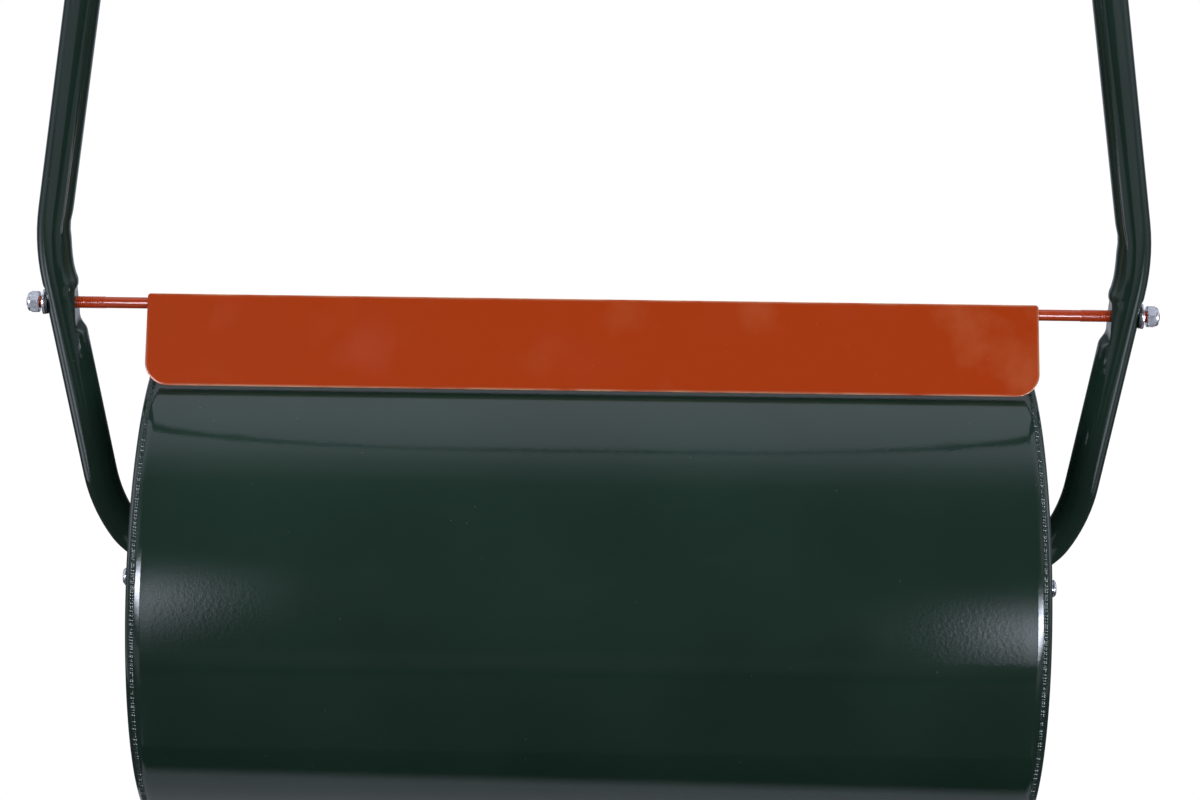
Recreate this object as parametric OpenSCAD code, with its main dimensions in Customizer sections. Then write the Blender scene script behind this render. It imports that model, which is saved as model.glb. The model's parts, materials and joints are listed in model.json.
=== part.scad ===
// Ballast lawn roller: a hollow steel drum that is filled with water or sand, a bent-tube
// push handle that carries the drum on a through axle, and a scraper blade above the drum.
// X runs along the axle, -Y faces the person pushing, +Z is up. The origin is on the
// ground under the middle of the axle, with the handle standing upright.

/* [Drum] */
// Outside diameter of the drum
drum_d = 320; // [300:5:340]
// Length of the drum between its end rims
drum_w = 570; // [520:5:572]
// Thickness of the rolled shell
shell_t = 1.5; // [1:0.25:2.5]
// Radius of the rolled rim of each end head
rim_r = 5.6; // [4.5:0.1:6.5]
// Depth of the recess in each end head
head_recess = 9; // [8:0.5:14]
// Thickness of the pressed end heads
head_t = 1.5; // [1:0.25:2]
// Diameter of the doubler plate round each hub
hub_plate_d = 90; // [70:5:110]
// Thickness of the doubler plates
hub_plate_t = 3; // [2:0.5:3]

/* [Axle] */
// Diameter of the axle
axle_d = 12; // [12:1:14]
// Length of the axle from tip to tip
axle_len = 622; // [620:1:630]
// Outside diameter of the pipe through the drum
pipe_d = 33.7; // [30:0.1:40]
// Wall of the pipe through the drum
pipe_t = 2.6; // [2:0.1:3.2]
// Radial running clearance in the bushes
running_gap = 0.05; // [0.02:0.01:0.1]

/* [Filler] */
// Radius at which the filler sits from the axle
filler_at = 105; // [90:1:115]
// Angle of the filler from the top of the drum, towards the person pushing
filler_angle = 45; // [30:1:60]
// Outside diameter of the threaded filler socket
socket_d = 50; // [46:1:54]
// Diameter of the plug's shank
plug_d = 37.8; // [34:0.1:40]

/* [Handle] */
// Outside diameter of the handle tube
tube_d = 22; // [20:1:24]
// Wall of the handle tube
tube_t = 1.5; // [1.2:0.1:2]
// Half spacing of the flattened tube ends on the axle
eye_x = 288; // [287.8:0.1:290]
// Thickness of a flattened tube end
eye_t = 5; // [4:0.5:5]
// Width of a flattened tube end
eye_w = 34; // [30:1:34]
// Outward lean of the tube just above the axle
lean_foot = 31; // [28:1:33]
// Outward lean of the tube beside the drum
lean_side = 8; // [7:0.5:9]
// Inward lean of the tube above the scraper
lean_leg = 9.91; // [9:0.1:10.5]
// Half spacing of the tubes at their widest point
knee_x = 345; // [343:1:347]
// Height of the widest point above the axle
knee_h = 243; // [242:1:250]
// Height of the top bar above the axle
bar_h = 1250; // [1150:10:1300]
// Height above the axle at which the bow joins the side tubes
joint_h = 640; // [600:10:700]
// Length of the grip sleeve
grip_len = 190; // [150:5:200]
// Outside diameter of the grip sleeve
grip_d = 32; // [28:1:36]

/* [Scraper] */
// Width of the scraper blade
blade_w = 570; // [500:5:572]
// Depth of the scraper blade
blade_h = 60; // [50:1:60]
// Thickness of the scraper blade
blade_t = 2; // [1.5:0.5:3]
// Radius of the blade's lower corners
blade_r = 15; // [5:1:20]
// Tilt of the blade from upright, its lower edge towards the person pushing
blade_tilt = 34; // [34:1:45]
// Height of the scraper rod above the axle
rod_h = 201.4; // [201:0.1:206]
// Diameter of the scraper rod's plain shank
shank_d = 7.2; // [7:0.1:7.6]
// Diameter of the scraper rod's threaded ends
rod_d = 8; // [8:1:8]
// Length of the scraper rod from tip to tip
rod_len = 726; // [724:1:732]

/* [Hidden] */
$fn = 96;

green = "darkslategray";
orange = "orangered";
zinc = "lightsteelblue";

axle_z = drum_d / 2;
end_x = drum_w / 2;                          // plane of the drum's rims
weld_x = end_x - rim_r;                      // where each head meets the shell
plate_x = end_x - head_recess;               // outer face of a head's flat
hub_x = plate_x + hub_plate_t;               // outer face of a doubler
pipe_end = hub_x + 1.5;                      // the pipe stands proud for its weld
pipe_bore = pipe_d / 2 - pipe_t;
flange_t = 2;                                // flange of a bush
bush_len = 27;
eye_in = eye_x - eye_t / 2;
eye_out = eye_x + eye_t / 2;
thrust_t = 2.5;
washer_t = 2.5;
axle_nut_t = 12;
eps = 0.02;                                  // keeps tangent faces from merging
seat_gap = 0.1;                              // radial gap round a welded or slipped-on piece
foot_bend_r = 110;
knee_bend_r = 150;
bow_bend_r = 60;
eye_top = 15;                                // where a flattened end starts to open out
knee_cut = knee_bend_r * tan((lean_side + lean_leg) / 2);
foot_cut = foot_bend_r * tan((lean_foot - lean_side) / 2);
elbow = [eye_x + 31.4, 56.3];                // meeting point of foot and side directions
knee = [knee_x, knee_h];
bend_lap = 1;                                // overlap of a bend with each straight tube
swage_len = 60;
bolt_drops = [18, 44];                       // bow bolts below the top of the side tubes
bolt_d = 6;
hole_gap = 0.06;                             // rod in its tube holes, per side
flat_len = 34;                               // pressed flat round each rod hole
flat_in = 8;                                 // inner flat from the tube's middle
flat_out = 9.8;                              // outer flat from the tube's middle
rod_x = elbow[0] + (knee[0] - elbow[0]) * (rod_h - elbow[1]) / (knee[1] - elbow[1]);
rubber_t = 1.6;
rod_washer_t = 1.6;
rod_nut_t = 7.6;
rod_nut_out = 362.3;                         // outer face of each rod nut

// Direction of a path that leans by a from upright, towards +X, in the X-Z plane
function along(a) = [sin(a), cos(a)];
// Point on the straight leg above the knee, at height h above the axle
function leg_at(h) = [knee_x - (h - knee_h) * tan(lean_leg), h];

module on_axle() { translate([0, 0, axle_z]) children(); }
module turned_to_x() { rotate([0, 90, 0]) children(); }

// A round body along X between x0 and x1
module x_rod(d, x0, x1) { translate([x0, 0, 0]) turned_to_x() cylinder(d = d, h = x1 - x0); }
module x_ring(d, bore, x0, x1) {
    difference() {
        x_rod(d, x0, x1);
        x_rod(bore, x0 - 1, x1 + 1);
    }
}
// A lock nut along X: hexagon with a round collar at its outer end
module x_lock_nut(flats, bore, x0, x1) {
    difference() {
        union() {
            translate([x0, 0, 0]) turned_to_x()
                cylinder(d = flats / cos(30), h = (x1 - x0) * 0.72, $fn = 6);
            x_rod(flats * 0.94, x0, x1);
        }
        x_rod(bore, x0 - 1, x1 + 1);
    }
}
module at_both_ends() {
    children();
    mirror([1, 0, 0]) children();
}
module place(p) { translate([p[0], 0, axle_z + p[1]]) children(); }
module leaning(a) { rotate([0, a, 0]) children(); }

// A hollow straight tube from p, leaning by a
module straight(p, a, len) {
    place(p) leaning(a) difference() {
        cylinder(d = tube_d, h = len);
        translate([0, 0, -1]) cylinder(d = tube_d - 2 * tube_t, h = len + 2);
    }
}
// A hollow bend that starts at p leaning by a0 and ends leaning by a1, turning inwards. It is a
// hair thinner than the straight tubes, and its ends sit a little way inside their walls.
module bend(p, r, a0, a1) {
    centre = p + r * [-cos(a0), sin(a0)];
    lap = bend_lap / r * 180 / PI;
    place(centre) rotate([90, 0, 0]) rotate([0, 0, -a0 - lap])
        rotate_extrude(angle = a0 - a1 + 2 * lap) translate([r, 0]) difference() {
            circle(d = tube_d - 2 * eps);
            circle(d = tube_d - 2 * tube_t + 2 * eps);
        }
}

module drum_shell() {
    color(green) on_axle() x_ring(drum_d, drum_d - 2 * shell_t, -weld_x, weld_x);
}
module end_head() {
    leg_r = drum_d / 2 - 2 * rim_r;
    difference() {
        on_axle() turned_to_x() rotate_extrude() {
            translate([drum_d / 2 - rim_r, weld_x]) intersection() {
                difference() {
                    circle(rim_r);
                    circle(rim_r - head_t);
                }
                translate([-rim_r, 0]) square([2 * rim_r, rim_r]);
            }
            translate([leg_r, plate_x - head_t]) square([head_t, weld_x - plate_x + head_t]);
            translate([pipe_d / 2 + seat_gap, plate_x - head_t])
                square([leg_r + head_t - pipe_d / 2 - seat_gap, head_t]);
        }
        children();
    }
}
module at_filler() {
    on_axle() rotate([filler_angle, 0, 0]) translate([0, 0, filler_at]) children();
}
module end_head_left() { color(green) mirror([1, 0, 0]) end_head(); }
module end_head_right() {
    color(green) end_head() at_filler()
        x_rod(socket_d + 2 * seat_gap, plate_x - head_recess, plate_x + head_recess);
}
module hub_plate() { on_axle() x_ring(hub_plate_d, pipe_d + 2 * seat_gap, plate_x, hub_x); }
module hub_plate_left() { color(green) mirror([1, 0, 0]) hub_plate(); }
module hub_plate_right() { color(green) hub_plate(); }
module axle_pipe() {
    color("gray") on_axle() x_ring(pipe_d, 2 * pipe_bore, -pipe_end, pipe_end);
}
module bush() {
    on_axle() difference() {
        union() {
            x_rod(2 * (pipe_bore - eps), pipe_end - bush_len, pipe_end + 1);
            x_rod(pipe_d + 4, pipe_end, pipe_end + flange_t);
        }
        x_rod(axle_d + 2 * running_gap, pipe_end - bush_len - 1, pipe_end + flange_t + 1);
    }
}
module bush_left() { color("white") mirror([1, 0, 0]) bush(); }
module bush_right() { color("white") bush(); }

socket_in = plate_x - 14;
socket_out = plate_x + 3;
seal_t = 2;
plug_top = socket_out + seal_t + 3;
module filler_socket() {
    color(green) at_filler() x_ring(socket_d, plug_d + 0.16, socket_in, socket_out);
}
module filler_seal() {
    color("black") at_filler()
        x_ring(socket_d - 3, plug_d + 2 * eps, socket_out + eps, socket_out + seal_t);
}
module filler_plug() {
    key = 14;
    color("black") at_filler() difference() {
        union() {
            x_rod(plug_d, socket_in + 3, plug_top - 1);
            x_rod(socket_d - 2, socket_out + seal_t + eps, plug_top);
        }
        translate([plug_top - 12, -key / 2, -key / 2]) cube([20, key, key]);
    }
}

module axle_shaft() {
    chamfer = 1;
    color(zinc) on_axle() turned_to_x() rotate_extrude() polygon([
        [0, -axle_len / 2], [axle_d / 2 - chamfer, -axle_len / 2],
        [axle_d / 2, chamfer - axle_len / 2], [axle_d / 2, axle_len / 2 - chamfer],
        [axle_d / 2 - chamfer, axle_len / 2], [0, axle_len / 2]
    ]);
}
module thrust_washers() {
    color(zinc) on_axle() at_both_ends()
        x_ring(2 * axle_d, axle_d + 1, eye_in - thrust_t, eye_in - eps);
}
module axle_washers() {
    color(zinc) on_axle() at_both_ends()
        x_ring(2 * axle_d, axle_d + 1, eye_out + eps, eye_out + washer_t);
}
module axle_nuts() {
    start = eye_out + washer_t + eps;
    color(zinc) on_axle() at_both_ends()
        x_lock_nut(19, axle_d + 2 * eps, start, start + axle_nut_t);
}

module eye() {
    place([0, 0]) difference() {
        union() {
            x_rod(eye_w, eye_in, eye_out);
            translate([eye_in, -eye_w / 2, 0]) cube([eye_t, eye_w, eye_top]);
        }
        x_rod(axle_d + 2 * hole_gap, eye_in - 1, eye_out + 1);
    }
}
// The stretch where the flattened end opens out to the round tube, with a round collar that
// takes the end of the foot bend
module eye_neck(p) {
    collar = 2;
    hull() {
        place([eye_in, eye_top]) translate([0, -eye_w / 2, -1]) cube([eye_t, eye_w, 0.5]);
        place(p - 1.2 * along(lean_foot)) leaning(lean_foot)
            cylinder(d = tube_d - 4 * eps, h = 0.5, $fn = 32);
    }
    place(p - (collar - 0.5) * along(lean_foot)) leaning(lean_foot)
        cylinder(d = tube_d, h = collar);
}
// Side tube with pressed flats where the scraper rod passes through
module side_tube() {
    foot_start = elbow - foot_cut * along(lean_foot);
    side_start = elbow + foot_cut * along(lean_side);
    knee_start = knee - knee_cut * along(lean_side);
    knee_end = knee + knee_cut * along(-lean_leg);
    leg_len = norm(leg_at(joint_h) - knee_end);
    difference() {
        union() {
            eye();
            eye_neck(foot_start);
            bend(foot_start, foot_bend_r, lean_foot, lean_side);
            difference() {
                straight(side_start, lean_side, norm(knee_start - side_start));
                rod_flats(tube_d);
            }
            rod_pocket();
            bend(knee_start, knee_bend_r, lean_side, -lean_leg);
            straight(knee_end, -lean_leg, leg_len);
        }
        place([0, rod_h]) x_rod(rod_d + 2 * hole_gap, rod_x - tube_d, rod_x + tube_d);
        bolt_axes() y_rod(bolt_d + 0.5, -tube_d, tube_d);
    }
}
// The space outside the two flats
module rod_flats(reach) {
    place([rod_x, rod_h]) {
        translate([flat_out, -reach, -flat_len / 2]) cube([reach, 2 * reach, flat_len]);
        translate([-flat_in - reach, -reach, -flat_len / 2]) cube([reach, 2 * reach, flat_len]);
    }
}
// Lower end and length of a stretch of the tube's middle line that runs past the flats
function pocket_axis() = [[rod_x, rod_h] - flat_len * along(lean_side), 2 * flat_len];
// A closed pocket that carries the tube wall along the flats
module rod_pocket() {
    wall = tube_t;
    axis = pocket_axis();
    difference() {
        intersection() {
            place(axis[0]) leaning(lean_side) cylinder(d = tube_d - tube_t, h = axis[1]);
            place([rod_x, rod_h]) translate([-flat_in, -tube_d, -flat_len / 2 - wall])
                cube([flat_in + flat_out, 2 * tube_d, flat_len + 2 * wall]);
        }
        intersection() {
            place(axis[0]) leaning(lean_side) cylinder(d = tube_d - 2 * tube_t, h = axis[1]);
            place([rod_x, rod_h]) translate([wall - flat_in, -tube_d, -flat_len / 2 - 2 * wall])
                cube([flat_in + flat_out - 2 * wall, 2 * tube_d, flat_len + 4 * wall]);
        }
    }
}
module y_rod(d, y0, y1) { translate([0, y0, 0]) rotate([-90, 0, 0]) cylinder(d = d, h = y1 - y0); }
module bolt_axes() {
    for (drop = bolt_drops) place(leg_at(joint_h) - drop * along(-lean_leg)) children();
}
module side_tube_left() { color(green) mirror([1, 0, 0]) side_tube(); }
module side_tube_right() { color(green) side_tube(); }

module handle_bow() {
    top = leg_at(bar_h);
    corner_cut = bow_bend_r * tan((90 - lean_leg) / 2);
    bow_start = top - corner_cut * along(-lean_leg);
    foot = leg_at(joint_h);
    half_bar = top[0] - corner_cut;
    swage_d = tube_d - 2 * tube_t - 2 * seat_gap;
    color(green) {
        at_both_ends() {
            straight(foot, -lean_leg, norm(bow_start - foot));
            bend(bow_start, bow_bend_r, -lean_leg, -90);
            difference() {
                place(foot - swage_len * along(-lean_leg)) leaning(-lean_leg) difference() {
                    union() {
                        cylinder(d = swage_d, h = swage_len + 2);
                        translate([0, 0, swage_len + 0.5]) cylinder(d = tube_d - tube_t, h = 3);
                    }
                    translate([0, 0, -1])
                        cylinder(d = swage_d - 2 * tube_t, h = swage_len + 6);
                }
                bolt_axes() y_rod(bolt_d + 0.5, -tube_d, tube_d);
            }
        }
        place([0, bar_h]) x_ring(tube_d, tube_d - 2 * tube_t, -half_bar, half_bar);
    }
}
module handle_grip() {
    color("black") place([0, bar_h])
        x_ring(grip_d, tube_d + 2 * seat_gap, -grip_len / 2, grip_len / 2);
}
washer_y = tube_d / 2 + eps;
bow_washer_t = 1.6;
module bow_washers() {
    color(zinc) at_both_ends() bolt_axes() for (side = [-1, 1]) difference() {
        y_rod(12, side * (washer_y + bow_washer_t / 2) - bow_washer_t / 2,
              side * (washer_y + bow_washer_t / 2) + bow_washer_t / 2);
        y_rod(bolt_d + 0.4, -tube_d, tube_d);
    }
}
module bow_bolts() {
    head_y = washer_y + bow_washer_t + eps;
    color(zinc) at_both_ends() bolt_axes() {
        y_rod(bolt_d, -head_y - 1, head_y + 7.5);
        translate([0, -head_y - 4, 0]) rotate([-90, 0, 0])
            cylinder(d = 10 / cos(30), h = 4, $fn = 6);
    }
}
module bow_nuts() {
    nut_y = washer_y + bow_washer_t + eps;
    color(zinc) at_both_ends() bolt_axes() difference() {
        union() {
            translate([0, nut_y, 0]) rotate([-90, 0, 0])
                cylinder(d = 10 / cos(30), h = 4.4, $fn = 6);
            y_rod(9.4, nut_y, nut_y + 6);
        }
        y_rod(bolt_d + 2 * eps, 0, 2 * tube_d);
    }
}

module scraper_blade() {
    lift = 5.5;                              // blade above the middle of the rod
    stand_off = 5;                           // middle of the blade in front of the rod
    color(orange) place([0, rod_h]) rotate([-blade_tilt, 0, 0])
        translate([0, blade_t / 2 - stand_off, 0]) rotate([90, 0, 0]) linear_extrude(blade_t)
            difference() {
                translate([-blade_w / 2, lift - blade_h]) square([blade_w, blade_h]);
                for (side = [0, 1]) mirror([side, 0])
                    translate([blade_w / 2 - blade_r, lift - blade_h + blade_r])
                        difference() {
                            translate([0, -blade_r - 1]) square([blade_r + 1, blade_r + 1]);
                            circle(blade_r);
                        }
            }
}
module scraper_rod() {
    thread_x = 313;
    chamfer = 0.8;
    color(orange) place([0, rod_h]) {
        x_rod(shank_d, -thread_x, thread_x);
        at_both_ends() {
            x_rod(rod_d, thread_x - eps, rod_len / 2 - chamfer);
            x_rod(rod_d - 2 * chamfer, thread_x, rod_len / 2);
        }
    }
}
rubber_x = rod_x + flat_out + 0.2;
module scraper_rubber_washers() {
    color("black") place([0, rod_h]) at_both_ends()
        x_ring(15.5, rod_d + 2 * eps, rubber_x, rubber_x + rubber_t);
}
module scraper_washers() {
    start = rubber_x + rubber_t + eps;
    color(zinc) place([0, rod_h]) at_both_ends()
        x_ring(16, rod_d + 0.4, start, start + rod_washer_t);
}
module scraper_nuts() {
    color(zinc) place([0, rod_h]) at_both_ends()
        x_lock_nut(13, rod_d + 2 * eps, rod_nut_out - rod_nut_t, rod_nut_out);
}

drum_shell();
end_head_left();
end_head_right();
hub_plate_left();
hub_plate_right();
axle_pipe();
bush_left();
bush_right();
filler_socket();
filler_plug();
filler_seal();
axle_shaft();
thrust_washers();
axle_washers();
axle_nuts();
side_tube_left();
side_tube_right();
handle_bow();
handle_grip();
bow_bolts();
bow_washers();
bow_nuts();
scraper_blade();
scraper_rod();
scraper_rubber_washers();
scraper_washers();
scraper_nuts();
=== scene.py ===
import json
import math

import bmesh
import bpy
from bpy.props import FloatProperty, FloatVectorProperty, IntProperty, PointerProperty
from mathutils import Matrix, Vector


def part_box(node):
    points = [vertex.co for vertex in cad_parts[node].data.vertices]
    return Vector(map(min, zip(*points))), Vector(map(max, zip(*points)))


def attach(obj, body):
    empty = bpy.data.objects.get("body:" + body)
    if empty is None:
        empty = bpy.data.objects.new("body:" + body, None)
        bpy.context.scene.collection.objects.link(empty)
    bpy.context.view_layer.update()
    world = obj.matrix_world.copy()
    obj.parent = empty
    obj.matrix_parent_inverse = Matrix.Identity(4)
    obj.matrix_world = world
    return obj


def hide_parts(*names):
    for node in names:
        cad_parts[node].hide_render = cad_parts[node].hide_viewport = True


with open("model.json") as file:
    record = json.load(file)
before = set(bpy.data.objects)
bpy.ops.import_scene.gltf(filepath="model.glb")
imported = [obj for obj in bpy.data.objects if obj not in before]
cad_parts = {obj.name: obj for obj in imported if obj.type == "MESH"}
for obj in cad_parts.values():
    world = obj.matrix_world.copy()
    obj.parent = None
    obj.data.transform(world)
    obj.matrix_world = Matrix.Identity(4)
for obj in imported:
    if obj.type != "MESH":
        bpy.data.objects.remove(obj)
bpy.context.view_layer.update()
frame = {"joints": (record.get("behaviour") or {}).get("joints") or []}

bl_info = {
    "name": "Lawn Roller",
    "version": (1, 0, 0),
    "blender": (4, 5, 0),
    "location": "View3D > Sidebar > Lawn Roller",
    "description": "Builds the painted steel, plated and moulded pieces of a ballast lawn roller",
    "category": "Object",
}

MM = 0.001
# Finishes: the CAD slot that each belongs to, and its material
GREEN = "green_enamel", "Green powder coat"
STEEL = "bare_steel", "Drawn steel"
NYLON = "nylon", "Moulded nylon"
RUBBER = "black_rubber", "Moulded rubber"
PLASTIC = "black_plastic", "Moulded polypropylene"
ZINC = "zinc_plate", "Zinc plated steel"
ORANGE = "orange_enamel", "Orange powder coat"

JOINTS = {joint["name"]: joint for joint in frame["joints"]}
AXLE_Z = JOINTS["drum_roll"]["pos_m"][2]
ROD_Z = JOINTS["scraper_tilt"]["pos_m"][2]
DRUM_R = AXLE_Z                       # the drum stands on the ground, so its radius is the axle's height


def near(node, side):
    """The X of a node's face that is nearer the middle (side 0) or further out (side 1)."""
    low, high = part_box(node)
    return (high.x if side else low.x) if high.x > 0 else (-low.x if side else -high.x)


def near_radius(node):
    """Outside radius of a round node that turns about X."""
    low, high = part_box(node)
    return (high.z - low.z) / 2


# ---------------------------------------------------------------------------- sizes and colours


def length(name, description, default):
    """A length property, with its default in metres."""
    return FloatProperty(name=name, description=description, default=default,
                         min=0, unit="LENGTH", subtype="DISTANCE", precision=5)


def linear(hexed):
    """A colour from sRGB hex to the linear numbers that shaders take."""
    parts = [int(hexed[i:i + 2], 16) / 255 for i in (1, 3, 5)]
    return [c / 12.92 if c <= 0.04045 else ((c + 0.055) / 1.055) ** 2.4 for c in parts]


def paint(name, description, hexed):
    """A colour property, with its default as sRGB hex."""
    return FloatVectorProperty(name=name, description=description, default=linear(hexed),
                               size=3, min=0, max=1, subtype="COLOR")


class RollerSizes(bpy.types.PropertyGroup):
    """Sizes that shape the visible pieces."""
    rim_r: length("Rim roll", "Radius of the rolled rim of each end head", 5.6 * MM)
    sheet: length("Sheet", "Thickness of the shell and the end heads", 1.5 * MM)
    recess: length("Recess", "Depth of the flat of an end head below its rim", 9 * MM)
    press_bead: length("Pressed ring", "Height of the stiffening ring pressed in each head", 2.2 * MM)
    edge_drop: length("Shell edge drop", "How far the shell curls in at its ends", 1.05 * MM)
    edge_curl: length("Shell edge curl", "Width of the curl at the shell's ends", 4.4 * MM)
    weld_r: length("Weld bead", "Radius of one ripple of a weld bead", 1.5 * MM)
    weld_pitch: length("Weld pitch", "Distance from ripple to ripple", 0.95 * MM)
    tube_r: length("Tube radius", "Outside radius of the handle tube", 11 * MM)
    eye_r: length("Tube end radius", "Half width of a flattened tube end", 17 * MM)
    eye_t: length("Tube end thickness", "Thickness of a flattened tube end", 5 * MM)
    knee_x: length("Knee", "Half spacing of the tubes at their widest", 345 * MM)
    knee_h: length("Knee height", "Height of the widest point above the axle", 243 * MM)
    elbow_h: length("Elbow height", "Height of the bend beside the hub above the axle", 56.3 * MM)
    bar_bend: length("Bar bend", "Bend radius where the legs meet the top bar", 60 * MM)
    flat_in: length("Inner flat", "Inner pressed flat from the tube's middle", 8 * MM)
    flat_out: length("Outer flat", "Outer pressed flat from the tube's middle", 10.4 * MM)
    rib_pitch: length("Grip rib pitch", "Distance from rib to rib of the grip", 4.75 * MM)
    blade_corner: length("Blade corner", "Radius of the blade's lower corners", 15 * MM)
    blade_t: length("Blade thickness", "Thickness of the scraper blade", 2 * MM)
    blade_h: length("Blade depth", "Depth of the scraper blade", 59.0 * MM)
    shank_r: length("Rod shank", "Radius of the scraper rod's plain shank", 3.6 * MM)
    blade_tilt: FloatProperty(name="Blade tilt", description="Tilt of the blade from upright",
                              default=math.radians(34), subtype="ANGLE")
    round_steps: IntProperty(name="Round steps", description="Facets round a small turned piece",
                             default=72, min=24, max=180)


class RollerColours(bpy.types.PropertyGroup):
    """Colours of the finishes."""
    green: paint("Green", "Powder coat of the drum and the handle", "#233A30")
    green_deep: paint("Deep green", "The green where the coat is thick", "#1F342B")
    orange: paint("Orange", "Powder coat of the scraper", "#C44513")
    orange_haze: paint("Orange haze", "Rubbed patches of the scraper's coat", "#D2683C")
    dust: paint("Dust", "Dust specks on the coats", "#7C8A84")
    zinc: paint("Zinc", "Bright zinc plating", "#DCDFE4")
    steel: paint("Steel", "Drawn and unpainted steel", "#8C8A86")
    nylon: paint("Nylon", "Natural moulded nylon", "#D9D4C4")
    rubber: paint("Rubber", "Moulded black rubber", "#17181A")
    plastic: paint("Plastic", "Moulded black polypropylene", "#1B1C1E")
    floor: paint("Floor", "Paper sweep in its own shade", "#A0A0A0")


# ---------------------------------------------------------------------------- nodes and materials


def add_node(tree, kind, inputs=None, **settings):
    """Adds a node. inputs maps a socket's name or number to a value or to another node's output."""
    made = tree.nodes.new(kind)
    for key, value in settings.items():
        setattr(made, key, value)
    for key, value in (inputs or {}).items():
        if isinstance(value, bpy.types.NodeSocket):
            tree.links.new(value, made.inputs[key])
        else:
            made.inputs[key].default_value = value
    return made


def rgba(colour):
    return (*colour, 1.0)


def new_material(name):
    """An empty node material, and its tree, surface output and Object coordinates."""
    material = bpy.data.materials.new(name)
    material.use_nodes = True
    tree = material.node_tree
    tree.nodes.clear()
    out = add_node(tree, "ShaderNodeOutputMaterial")
    place = add_node(tree, "ShaderNodeTexCoord").outputs["Object"]
    return material, tree, out, place


def ramp(tree, value, low, high, start=0.0, end=1.0):
    """A value taken from low..high to start..end, and held there."""
    return add_node(tree, "ShaderNodeMapRange",
                    {"Value": value, "From Min": low, "From Max": high,
                     "To Min": start, "To Max": end}).outputs["Result"]


def mixed(tree, amount, one, other):
    """Two colours mixed by an amount; each is a colour or another node's output."""
    node = add_node(tree, "ShaderNodeMix", data_type="RGBA")
    factor = node.inputs["Factor"]
    for socket, value in zip([factor] + [s for s in node.inputs if s.type == "RGBA"], (amount, one, other)):
        if isinstance(value, bpy.types.NodeSocket):
            tree.links.new(value, socket)
        else:
            socket.default_value = rgba(value)
    return next(s for s in node.outputs if s.type == "RGBA")


def calc(tree, operation, *values):
    return add_node(tree, "ShaderNodeMath", dict(enumerate(values)), operation=operation).outputs[0]


def noise(tree, place, scale, detail=2.0, stretch=None):
    """Noise with scale in turns per metre, optionally stretched along the axes."""
    if stretch:
        place = add_node(tree, "ShaderNodeMapping", {"Vector": place, "Scale": stretch}).outputs[0]
    return add_node(tree, "ShaderNodeTexNoise",
                    {"Vector": place, "Scale": scale, "Detail": detail}).outputs["Fac"]


def bump(tree, height, depth, normal=None):
    """A bump whose height 0..1 stands for depth metres."""
    inputs = {"Height": height, "Strength": 1.0, "Distance": depth}
    if normal:
        inputs["Normal"] = normal
    return add_node(tree, "ShaderNodeBump", inputs).outputs["Normal"]


def specks(tree, place, scale, share):
    """Small round dust specks: 1 inside a speck. share is how many cells hold one."""
    cells = add_node(tree, "ShaderNodeTexVoronoi", {"Vector": place, "Scale": scale})
    near_point = ramp(tree, cells.outputs["Distance"], 0.04, 0.09, 1.0, 0.0)
    chosen = add_node(tree, "ShaderNodeSeparateColor", {"Color": cells.outputs["Color"]})
    lucky = calc(tree, "LESS_THAN", chosen.outputs["Red"], share)
    return calc(tree, "MULTIPLY", near_point, lucky)


def powder_coat(name, colour, deep, dust, gloss, haze, worn_and_highlit_edge=None):
    """Gloss polyester powder coat on steel: a deep colour with a soft orange-peel skin about 2 mm
    across, a few dust specks, and hairline rub marks along the roller's width."""
    material, tree, out, place = new_material(name)
    cloud = ramp(tree, noise(tree, place, 9.0, 4.0), 0.35, 0.68)
    body = mixed(tree, cloud, deep, colour)
    dots = specks(tree, place, 210.0, 0.05)
    body = mixed(tree, calc(tree, "MULTIPLY", dots, 0.5), body, dust)
    rubs = ramp(tree, noise(tree, place, 1.0, 3.0, (9.0, 420.0, 420.0)), 0.70, 0.76)
    patch = ramp(tree, noise(tree, place, 14.0, 5.0), 0.55, 0.72)
    rough = calc(tree, "ADD", calc(tree, "MULTIPLY", patch, haze), gloss)
    rough = calc(tree, "ADD", rough, calc(tree, "MULTIPLY", rubs, 0.10))
    rough = calc(tree, "ADD", rough, calc(tree, "MULTIPLY", dots, 0.3))
    peel = noise(tree, place, 420.0, 2.0)
    normal = bump(tree, peel, 0.035 * MM)
    normal = bump(tree, noise(tree, place, 16.0, 1.0), 0.06 * MM, normal)
    if worn_and_highlit_edge:
        across = add_node(tree, "ShaderNodeSeparateXYZ", {0: place}).outputs["X"]
        wisps = ramp(tree, noise(tree, place, 24.0, 6.0), 0.56, 0.76)
        handled = ramp(tree, across, -0.08, 0.26, 0.12, 0.75)
        body = mixed(tree, calc(tree, "MULTIPLY", wisps, handled), body, dust)
        # The eased edges are lightened in patches: partly wear through the coat, partly a painted highlight
        # where the rounded edge would catch the light.
        edge = add_node(tree, "ShaderNodeAttribute", attribute_name="edge").outputs["Fac"]
        thin = ramp(tree, noise(tree, place, 40.0, 2.0), 0.25, 0.60)
        body = mixed(tree, calc(tree, "MULTIPLY", calc(tree, "MULTIPLY", edge, thin), 0.75),
                     body, worn_and_highlit_edge)
    shader = add_node(tree, "ShaderNodeBsdfPrincipled",
                      {"Base Color": body, "Roughness": rough, "Normal": normal, "IOR": 1.5})
    tree.links.new(shader.outputs[0], out.inputs["Surface"])
    return material


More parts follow.
